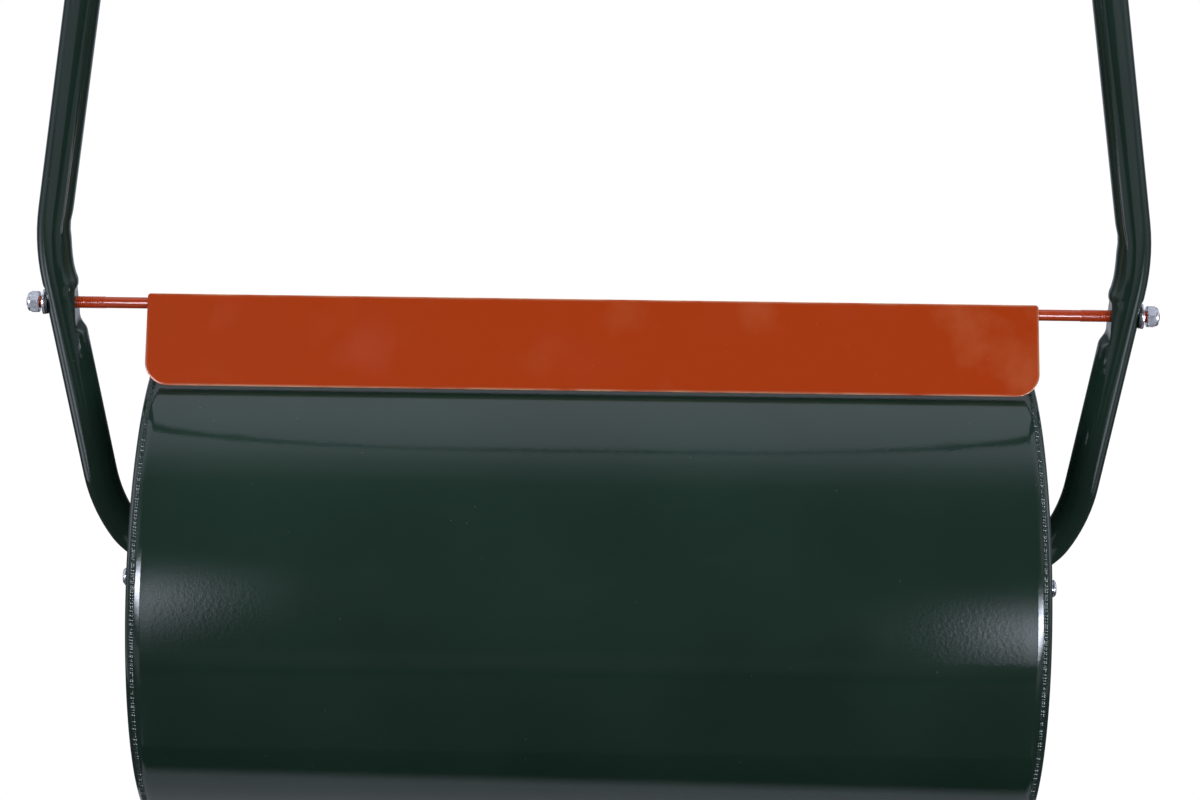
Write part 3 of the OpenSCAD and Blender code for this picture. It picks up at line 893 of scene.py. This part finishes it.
class ROLLER_OT_bow(bpy.types.Operator):
    """Bends the bow that joins the side tubes over the top"""
    bl_idname = "roller.bow"
    bl_label = "Handle Bow"

    def execute(self, context):
        size = context.scene.roller_sizes
        joint = joint_point(size)
        bar_z = (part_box("handle_grip")[0].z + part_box("handle_grip")[1].z) / 2 - AXLE_Z
        top = Vector((size.knee_x - (bar_z - size.knee_h) * leg_slope(), bar_z))
        start = joint + (top - joint).normalized() * 0.15 * MM
        corners = [(-start.x, start.y), (-top.x, top.y), (top.x, top.y), (start.x, start.y)]
        stations = path_stations([Vector(c) for c in corners], [size.bar_bend] * 2, 8 * MM)

        def outline(index, point, angle):
            radius = size.tube_r - (0.9 * MM if index in (0, last) else 0)
            return radius * math.cos(angle), radius * math.sin(angle)

        first, second = stations[0], stations[-1]
        stations.insert(1, (first[0] + first[1] * MM, first[1]))
        stations.insert(-1, (second[0] - second[1] * MM, second[1]))
        last = len(stations) - 1
        verts, faces = swept(stations, outline, 72)
        for v in verts:
            v.z += AXLE_Z
        make_piece("bow", "handle", GREEN, verts, faces,
                   ["handle_bow"], 40)
        return {"FINISHED"}


class ROLLER_OT_grip(bpy.types.Operator):
    """Moulds the ribbed grip sleeve"""
    bl_idname = "roller.grip"
    bl_label = "Grip"

    def execute(self, context):
        size = context.scene.roller_sizes
        low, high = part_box("handle_grip")
        place = (0, 0, (low.z + high.z) / 2)
        outer, bore = (high.z - low.z) / 2, size.tube_r + 0.1 * MM
        rib = 1 * MM
        outline = [(low.x, bore), (low.x, outer), (low.x + 7 * MM, outer), (low.x + 9 * MM, outer - rib),
                   (high.x - 9 * MM, outer - rib), (high.x - 7 * MM, outer), (high.x, outer), (high.x, bore)]
        sleeve = bare_piece("grip", *lathe(rounded(outline, 1.2 * MM, 3), place, 96))
        span = high.x - low.x - 22 * MM
        count = int(span / size.rib_pitch)
        start = (-(count - 1) * size.rib_pitch / 2, 0, place[2])
        run_tree(sleeve, rib_tree(), Start=start, Pitch=size.rib_pitch, Count=count,
                 Radius=outer - rib, Rib=rib, Material=finishes()["Moulded rubber"])
        finish_piece(sleeve, "handle", RUBBER, ["handle_grip"])
        return {"FINISHED"}


class ROLLER_OT_bow_fasteners(bpy.types.Operator):
    """Makes the bolts, washers and lock nuts that hold the bow"""
    bl_idname = "roller.bow_fasteners"
    bl_label = "Bow Fasteners"

    def execute(self, context):
        size = context.scene.roller_sizes
        wash_low, wash_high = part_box("bow_washers")
        bolt_low, bolt_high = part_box("bow_bolts")
        nut_low, nut_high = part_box("bow_nuts")
        washers, bolts, nuts = [], [], []
        thick = 1.6 * MM
        for x, z in bolt_points(size):
            for sign in (-1, 1):
                centre = (sign * x, 0, z)
                for y in (wash_low.y, wash_high.y - thick):
                    washers.append(turned_to_y(ring_of(y, y + thick, 3.2 * MM, 6 * MM, (0, 0, 0),
                                                       0.3 * MM, 48), centre))
                bolts.append(turned_to_y(hex_bolt(10 * MM, 4 * MM, 2.95 * MM,
                                                  bolt_high.y - bolt_low.y, bolt_low.y, (0, 0, 0),
                                                  48), centre))
                nuts.append(turned_to_y(lock_nut(10 * MM, 3.02 * MM, nut_high.y - nut_low.y,
                                                 nut_low.y, (0, 0, 0), 60), centre))
        for name, group, node in (("bow_washer_set", washers, "bow_washers"),
                                  ("bow_bolt_set", bolts, "bow_bolts"),
                                  ("bow_nut_set", nuts, "bow_nuts")):
            make_piece(name, "handle", ZINC, *joined(*group), [node])
        return {"FINISHED"}


class ROLLER_OT_axle(bpy.types.Operator):
    """Turns the axle with its threaded ends, washers and lock nuts"""
    bl_idname = "roller.axle"
    bl_label = "Axle"

    def execute(self, context):
        place = (0, 0, AXLE_Z)
        tip = near("axle_shaft", 1)
        shaft, core, pitch = near_radius("axle_shaft"), 5.45 * MM, 1.75 * MM
        thread_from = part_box("axle_nuts")[1].x - 12 * MM
        outline = [(-tip, 0.0), (-tip, core - MM), (-tip + MM, core), (-thread_from, core),
                   (-thread_from, shaft), (thread_from, shaft), (thread_from, core), (tip - MM, core),
                   (tip, core - MM), (tip, 0.0)]
        axle = bare_piece("axle", *lathe(outline, place, 72, ring=False))
        turns = (tip - MM - thread_from) / pitch
        for start in (thread_from, 1.2 * MM - tip):
            run_tree(axle, thread_tree(), Radius=core, Pitch=pitch, Turns=turns, Ridge=0.55 * MM,
                     Place=(start, 0, AXLE_Z), Turn=(0, math.pi / 2, 0),
                     Material=finishes()["Zinc plated steel"])
        finish_piece(axle, "handle", ZINC, ["axle_shaft"], 50)
        rings = {}
        for node in ("thrust_washers", "axle_washers"):
            shape = ring_of(near(node, 1) - 2.48 * MM, near(node, 1), shaft + 0.5 * MM,
                            near_radius(node), place, 0.4 * MM, 72)
            rings[node] = joined(shape, mirrored(shape))
        nut = lock_nut(19 * MM, shaft + 0.02 * MM, 12 * MM, thread_from, place, 72)
        rings["axle_nuts"] = joined(nut, mirrored(nut))
        for node, shape in rings.items():
            make_piece(node + "_pair", "handle", ZINC, *shape, [node])
        return {"FINISHED"}


# ---------------------------------------------------------------------------- operators: the scraper


def at_rod(verts, tilt):
    """Points made round the rod's middle, tilted about it and put in place."""
    turn = Matrix.Rotation(-tilt, 3, "X")
    return [turn @ Vector(v) + Vector((0, 0, ROD_Z)) for v in verts]


class ROLLER_OT_blade(bpy.types.Operator):
    """Cuts the scraper blade, with eased edges, lightly worn and with a painted highlight along them"""
    bl_idname = "roller.blade"
    bl_label = "Scraper Blade"

    def execute(self, context):
        size = context.scene.roller_sizes
        half = near("scraper_blade", 1)
        top, corner, small = 5.5 * MM, size.blade_corner, 2.0 * MM
        bottom = top - size.blade_h
        outline = []
        for x, z, radius, start in ((half - small, top - small, small, 0),
                                    (-half + small, top - small, small, 90),
                                    (-half + corner, bottom + corner, corner, 180),
                                    (half - corner, bottom + corner, corner, 270)):
            for k in range(13):
                angle = math.radians(start + 90 * k / 12)
                outline.append((x + radius * math.cos(angle), z + radius * math.sin(angle),
                                math.cos(angle), math.sin(angle)))
        front = -5 * MM - size.blade_t / 2
        ease = 0.55 * MM
        layers = [(0.0, ease), (0.13 * ease, 0.5 * ease), (0.5 * ease, 0.13 * ease), (ease, 0.0)]
        layers += [(size.blade_t - depth, inset) for depth, inset in layers[::-1]]
        verts, faces, edge = [], [], []
        count = len(outline)
        for depth, inset in layers:
            for x, z, nx, nz in outline:
                verts.append(Vector((x - nx * inset, front + depth, z - nz * inset)))
                edge.append(1.0 if inset < ease else 0.5)
        for i in range(len(layers) - 1):
            for k in range(count):
                a, b = i * count + k, i * count + (k + 1) % count
                faces.append([a, b, b + count, a + count])
        for base in (0, (len(layers) - 1) * count):
            inner = []
            for x, z, nx, nz in outline:
                inner.append(len(verts))
                verts.append(Vector((x - nx * 1.6 * MM, verts[base].y, z - nz * 1.6 * MM)))
                edge.append(0.0)
            for k in range(count):
                faces.append([base + k, base + (k + 1) % count, inner[(k + 1) % count], inner[k]])
            faces.append(inner)
        blade = bare_piece("blade", at_rod(verts, size.blade_tilt), faces)
        # The edge mark drives the lightened edges: wear, and a painted highlight.
        mark = blade.data.attributes.new("edge", "FLOAT", "POINT")
        mark.data.foreach_set("value", edge)
        finish_piece(blade, "scraper", ORANGE, ["scraper_blade"], 50)
        back = front + size.blade_t
        lines = []
        for k in range(7):
            middle = (k - 3) * 88 * MM
            for z in (1, -1):
                spot = [(middle + dx * MM, back + 0.3 * MM, z * (size.shank_r - 0.6 * MM))
                        for dx in (-11, 0, 11)]
                lines.append(at_rod(spot, size.blade_tilt))
        weld_piece("blade_welds", "scraper", ORANGE, lines,
                   1.5 * MM, 1.6 * MM, 31)
        return {"FINISHED"}


class ROLLER_OT_rod(bpy.types.Operator):
    """Draws the scraper rod and rolls its threads"""
    bl_idname = "roller.rod"
    bl_label = "Scraper Rod"

    def execute(self, context):
        size = context.scene.roller_sizes
        place = (0, 0, ROD_Z)
        tip = near("scraper_rod", 1)
        core, pitch, ridge = size.shank_r, 1.25 * MM, 0.37 * MM
        outline = [(-tip, 0.0), (-tip, core - 0.8 * MM), (0.8 * MM - tip, core),
                   (tip - 0.8 * MM, core), (tip, core - 0.8 * MM), (tip, 0.0)]
        rod = bare_piece("rod", *lathe(outline, place, 48, ring=False))
        thread_from = 313 * MM
        turns = (tip - 1.2 * MM - thread_from) / pitch
        for start in (thread_from, 1.2 * MM - tip):
            run_tree(rod, thread_tree(), Radius=core, Pitch=pitch, Turns=turns, Ridge=ridge,
                     Place=(start, 0, ROD_Z), Turn=(0, math.pi / 2, 0),
                     Material=finishes()["Orange powder coat"])
        finish_piece(rod, "scraper", ORANGE, ["scraper_rod"], 50)
        return {"FINISHED"}


class ROLLER_OT_rod_fasteners(bpy.types.Operator):
    """Makes the rod's rubber and plated washers and its lock nuts"""
    bl_idname = "roller.rod_fasteners"
    bl_label = "Rod Fasteners"

    def execute(self, context):
        place = (0, 0, ROD_Z)
        nut_x = near("scraper_nuts", 1)
        nut = lock_nut(13 * MM, 4.02 * MM, 7.6 * MM, nut_x - 7.6 * MM, place, 72)
        shapes = {"scraper_nuts": (nut, ZINC)}
        for node, bore, finish, ease in (("scraper_rubber_washers", 4.02 * MM, RUBBER, 0.6 * MM),
                                         ("scraper_washers", 4.2 * MM, ZINC, 0.3 * MM)):
            ring = ring_of(near(node, 1) - 1.58 * MM, near(node, 1), bore, near_radius(node),
                           place, ease, 64)
            shapes[node] = (ring, finish)
        for node, (form, finish) in shapes.items():
            make_piece(node.removeprefix("scraper_") + "_pair", "scraper", finish,
                       *joined(form, mirrored(form)), [node])
        return {"FINISHED"}


# ---------------------------------------------------------------------------- operator: the stage


FLOOR = 6.0                           # half width of the floor
PAPER_Z = 0.001                       # height of the sheets that only reflections see
EYE_PLACE = (0.0030, -1.68886, AXLE_Z + 0.99736)
EYE_DOWN, EYE_ROLL = 22.1, 0.78       # degrees
EYE_LENS, EYE_SHIFT = 87.18, -5 / 24  # millimetres, and a share of the frame's width


def flat(z, *corners):
    """Corners (x, y) laid level at a height."""
    return [(x, y, z) for x, y in corners]


def stage_sheet(name, corners, material):
    sheet = plain_object(name, corners, [tuple(range(len(corners)))])
    sheet.data.materials.append(material)
    return sheet


def area_light(name, place, aim, width, height, radiance, glossy=False):
    """A soft light of a given brightness, aimed at a point."""
    lamp = bpy.data.lights.new(name, "AREA")
    lamp.shape, lamp.size, lamp.size_y = "RECTANGLE", width, height
    lamp.energy = radiance * math.pi * width * height
    holder = bpy.data.objects.new(name, lamp)
    holder.location = place
    holder.rotation_euler = (Vector(aim) - Vector(place)).to_track_quat("-Z", "Y").to_euler()
    holder.visible_glossy = glossy
    bpy.context.scene.collection.objects.link(holder)
    return holder


def floor_material(colour):
    """White paper sweep: for the camera a pure white glow, with a painted contact shadow from ambient
    occlusion right under the drum.
    """
    material, tree, out, place = new_material("White paper sweep")
    cloud = noise(tree, place, 3.0, 3.0)
    shade = mixed(tree, ramp(tree, cloud, 0.3, 0.7), [c * 0.97 for c in colour], colour)
    paper = add_node(tree, "ShaderNodeBsdfDiffuse", {"Color": shade, "Roughness": 0.6})
    # Painted contact shadow: ambient occlusion dims the camera's white glow near the drum.
    contact_shadow_ao = add_node(tree, "ShaderNodeAmbientOcclusion", {"Distance": 20 * MM}, samples=8)
    lit = add_node(tree, "ShaderNodeEmission",
                   {"Strength": ramp(tree, contact_shadow_ao.outputs["AO"], 0.0, 0.8, 0.25, 1.02)})
    seen = add_node(tree, "ShaderNodeLightPath").outputs["Is Camera Ray"]
    both = add_node(tree, "ShaderNodeMixShader", {0: seen, 1: paper.outputs[0], 2: lit.outputs[0]})
    tree.links.new(both.outputs[0], out.inputs["Surface"])
    return material


def paper_glow_material(start, end, skew, bright):
    """A lit part of the paper sweep: brightness rises along Y from start to end."""
    material, tree, out, place = new_material("Lit paper")
    axes = add_node(tree, "ShaderNodeSeparateXYZ", {0: place}).outputs
    border = calc(tree, "SUBTRACT", axes["Y"], calc(tree, "MULTIPLY", axes["X"], skew))
    level = ramp(tree, border, start, end, 0.0, bright)
    shader = add_node(tree, "ShaderNodeEmission", {"Color": rgba(COOL), "Strength": level})
    tree.links.new(shader.outputs[0], out.inputs["Surface"])
    return material


def card_material(blobs):
    """Reflection card: tall soft patches of light (x, z, half width, half height, brightness)."""
    material, tree, out, place = new_material("Reflection card")
    axes = add_node(tree, "ShaderNodeSeparateXYZ", {0: place}).outputs
    total = None
    for x, z, wide, tall, bright in blobs:
        dx = calc(tree, "DIVIDE", calc(tree, "SUBTRACT", axes["X"], x), wide)
        dz = calc(tree, "DIVIDE", calc(tree, "SUBTRACT", axes["Z"], z), tall)
        far = calc(tree, "ADD", calc(tree, "MULTIPLY", dx, dx), calc(tree, "MULTIPLY", dz, dz))
        patch = calc(tree, "MULTIPLY", calc(tree, "EXPONENT", calc(tree, "MULTIPLY", far, -0.5)), bright)
        total = patch if total is None else calc(tree, "ADD", total, patch)
    shader = add_node(tree, "ShaderNodeEmission", {"Color": rgba(COOL), "Strength": total})
    clear = add_node(tree, "ShaderNodeBsdfTransparent")
    both = add_node(tree, "ShaderNodeAddShader", {0: shader.outputs[0], 1: clear.outputs[0]})
    tree.links.new(both.outputs[0], out.inputs["Surface"])
    return material


def only_glossy(sheet):
    sheet.visible_camera = sheet.visible_diffuse = sheet.visible_shadow = False
    sheet.visible_transmission = False


# Brightness of the studio for reflections, by the angle up from the front: dark in front, a
# soft-edged overhead diffuser, and a wall behind that falls off towards the ground.
SKY = ((-180, 0.04), (-100, 0.04), (-60, 0.05), (20, 0.06), (60, 0.05), (76, 0.09), (81, 0.22),
       (87, 0.40), (92, 0.64), (98, 0.84), (110, 0.96), (130, 0.92), (150, 0.4), (180, 0.12))
COOL = (0.96, 1.0, 1.17)              # tint of the daylight flashes


def glow(tree, way, towards, sharp, bright):
    """A round soft light in the world in one direction."""
    along = add_node(tree, "ShaderNodeVectorMath",
                     {0: way, 1: Vector(towards).normalized()}, operation="DOT_PRODUCT").outputs["Value"]
    power = calc(tree, "MULTIPLY", calc(tree, "SUBTRACT", along, 1.0), sharp)
    return calc(tree, "MULTIPLY", calc(tree, "EXPONENT", power), bright)


def studio_world():
    world = bpy.data.worlds.new("Studio")
    world.use_nodes = True
    tree = world.node_tree
    tree.nodes.clear()
    way = add_node(tree, "ShaderNodeTexCoord").outputs["Generated"]
    axes = add_node(tree, "ShaderNodeSeparateXYZ", {0: way}).outputs
    front = calc(tree, "MULTIPLY", axes["Y"], -1.0)
    angle = calc(tree, "ARCTAN2", axes["Z"], front)
    band = add_node(tree, "ShaderNodeValToRGB",
                    {"Fac": ramp(tree, angle, -math.pi, math.pi)})
    stops = band.color_ramp.elements
    while len(stops) < len(SKY):
        stops.new(0.5)
    for stop, (degrees, bright) in zip(stops, SKY):
        stop.position = (degrees + 180) / 360
        stop.color = (bright / 2, bright / 2, bright / 2, 1)
    level = calc(tree, "MULTIPLY", add_node(tree, "ShaderNodeSeparateColor",
                                            {"Color": band.outputs["Color"]}).outputs["Red"], 2.0)
    total = None
    for side, wide, low in ((-1, 0.45, 1.5), (1, 0.35, 0.4)):
        aside = ramp(tree, calc(tree, "MULTIPLY", axes["X"], side), 0.16, 0.40)
        ahead = calc(tree, "MULTIPLY", ramp(tree, front, 0.0, 0.5), ramp(tree, axes["Z"], 0.05, -0.12))
        patches = [calc(tree, "MULTIPLY", calc(tree, "MULTIPLY", aside, ahead), wide),
                   glow(tree, way, (0.80 * side, -0.40, -0.52), 160.0, 2.2),
                   glow(tree, way, (0.86 * side, 0.08, -0.50), 60.0, low),
                   glow(tree, way, (0.75 * side, -0.40, 0.55), 40.0, 0.6),
                   glow(tree, way, (1.0 * side, 0.10, 0.12), 18.0, 1.1)]
        for patch in patches:
            total = patch if total is None else calc(tree, "ADD", total, patch)
    behind = calc(tree, "MULTIPLY", ramp(tree, front, -0.60, -0.85),
                  ramp(tree, axes["Z"], 0.0, -0.12))
    total = calc(tree, "ADD", total, calc(tree, "MULTIPLY", behind, 0.5))
    shiny = add_node(tree, "ShaderNodeLightPath").outputs["Is Glossy Ray"]
    level = calc(tree, "ADD", level, calc(tree, "MULTIPLY", total, shiny))
    studio = add_node(tree, "ShaderNodeBackground", {"Color": rgba(COOL), "Strength": level})
    white = add_node(tree, "ShaderNodeBackground", {"Color": (1, 1, 1, 1), "Strength": 1.0})
    seen = add_node(tree, "ShaderNodeLightPath").outputs["Is Camera Ray"]
    both = add_node(tree, "ShaderNodeMixShader", {0: seen, 1: studio.outputs[0], 2: white.outputs[0]})
    out = add_node(tree, "ShaderNodeOutputWorld")
    tree.links.new(both.outputs[0], out.inputs["Surface"])
    return world


class ROLLER_OT_stage(bpy.types.Operator):
    """Sets the pale floor, the soft lights and the camera"""
    bl_idname = "roller.stage"
    bl_label = "Stage"

    def execute(self, context):
        scene = context.scene
        scene.view_settings.view_transform = "Standard"
        scene.world = studio_world()
        floor = stage_sheet("floor", flat(0, (-FLOOR, -FLOOR), (FLOOR, -FLOOR), (FLOOR, FLOOR),
                                          (-FLOOR, FLOOR)),
                            floor_material(scene.roller_colours.floor))
        floor.visible_glossy = False
        papers = [("floor_glow", flat(PAPER_Z, (-0.34, -0.25), (0.34, -0.25), (0.34, 0.3),
                                        (-0.34, 0.3)),
                   (-0.189, -0.170, 0.042, 0.46)),
                  ("front_glow", flat(PAPER_Z, (-1.3, -4.5), (1.3, -4.5), (0.44, -0.9),
                                         (-0.44, -0.9)),
                   (-0.9, -1.5, 0.0, 0.11))]
        for side, label in ((-1, "left"), (1, "right")):
            papers += [(f"floor_shade_{label}", flat(PAPER_Z, (0.34 * side, -0.45),
                                                     (0.66 * side, -0.45), (0.66 * side, 0.5),
                                                     (0.34 * side, 0.5)),
                        (-9.0, -8.0, 0.0, 0.05)),
                       (f"side_glow_{label}", flat(PAPER_Z, (1.3 * side, -4.5),
                                                   (2.4 * side, -4.5), (2.4 * side, -0.46),
                                                   (0.36 * side, -0.46)),
                        (-0.46, -0.9, 0.0, 0.52))]
        for name, corners, glowing in papers:
            only_glossy(stage_sheet(name, corners, paper_glow_material(*glowing)))
        for name, x0, x1, z0, z1, y, blobs in (
                ("front_card", -2, 2, -0.5, 3, -2.5, [(-0.68, 1.08, 0.075, 0.42, 2.4),
                                                      (0.675, 0.60, 0.080, 0.38, 3.6)]),
                ("softbox_left", -3.4, -0.94, 0.2, 2.6, -2.48, [(0, 1.40, 50, 0.33, 30.0)]),
                ("softbox_right", 0.94, 3.4, -0.5, 1.9, -2.48, [(0, 0.70, 50, 0.33, 30.0)])):
            only_glossy(stage_sheet(name, [(x0, y, z0), (x1, y, z0), (x1, y, z1), (x0, y, z1)],
                                    card_material(blobs)))
        area_light("overhead", (0, 0.5, 2.9), (0, 0, 0.2), 2.6, 2.2, 1.2)
        area_light("fill_left", (-1.9, -2.3, 1.7), (0, 0, 0.3), 1.4, 1.4, 4.4)
        area_light("fill_right", (1.9, -2.3, 1.3), (0, 0, 0.3), 1.4, 1.4, 4.4)
        eye = bpy.data.cameras.new("camera")
        eye.sensor_width, eye.lens, eye.shift_y = 36.0, EYE_LENS, EYE_SHIFT
        eye.clip_start, eye.clip_end = 0.05, 40
        holder = bpy.data.objects.new("camera", eye)
        down, roll = math.radians(EYE_DOWN), math.radians(EYE_ROLL)
        turn = Matrix.Rotation(math.pi / 2 - down, 4, "X") @ Matrix.Rotation(roll, 4, "Z")
        holder.matrix_world = Matrix.Translation(EYE_PLACE) @ turn
        scene.collection.objects.link(holder)
        scene.camera = holder
        return {"FINISHED"}


# ---------------------------------------------------------------------------- panel and main

PARTS = (ROLLER_OT_drum, ROLLER_OT_rim_welds, ROLLER_OT_hub, ROLLER_OT_filler,
         ROLLER_OT_side_tubes, ROLLER_OT_bow, ROLLER_OT_grip, ROLLER_OT_bow_fasteners,
         ROLLER_OT_axle, ROLLER_OT_blade, ROLLER_OT_rod, ROLLER_OT_rod_fasteners, ROLLER_OT_stage)


class ROLLER_PT_panel(bpy.types.Panel):
    """Lists the roller's pieces in the sidebar"""
    bl_idname = "ROLLER_PT_panel"
    bl_label = "Lawn Roller"
    bl_space_type = "VIEW_3D"
    bl_region_type = "UI"
    bl_category = "Lawn Roller"

    def draw(self, context):
        for part in PARTS:
            self.layout.operator(part.bl_idname, text=part.bl_label)


CLASSES = (RollerSizes, RollerColours, *PARTS, ROLLER_PT_panel)


def register():
    for made in CLASSES:
        bpy.utils.register_class(made)
    bpy.types.Scene.roller_sizes = PointerProperty(type=RollerSizes)
    bpy.types.Scene.roller_colours = PointerProperty(type=RollerColours)


def unregister():
    del bpy.types.Scene.roller_colours
    del bpy.types.Scene.roller_sizes
    for made in reversed(CLASSES):
        bpy.utils.unregister_class(made)


def main():
    register()
    for part in PARTS:
        group, name = part.bl_idname.split(".")
        getattr(getattr(bpy.ops, group), name)()


if __name__ == "__main__":
    main()
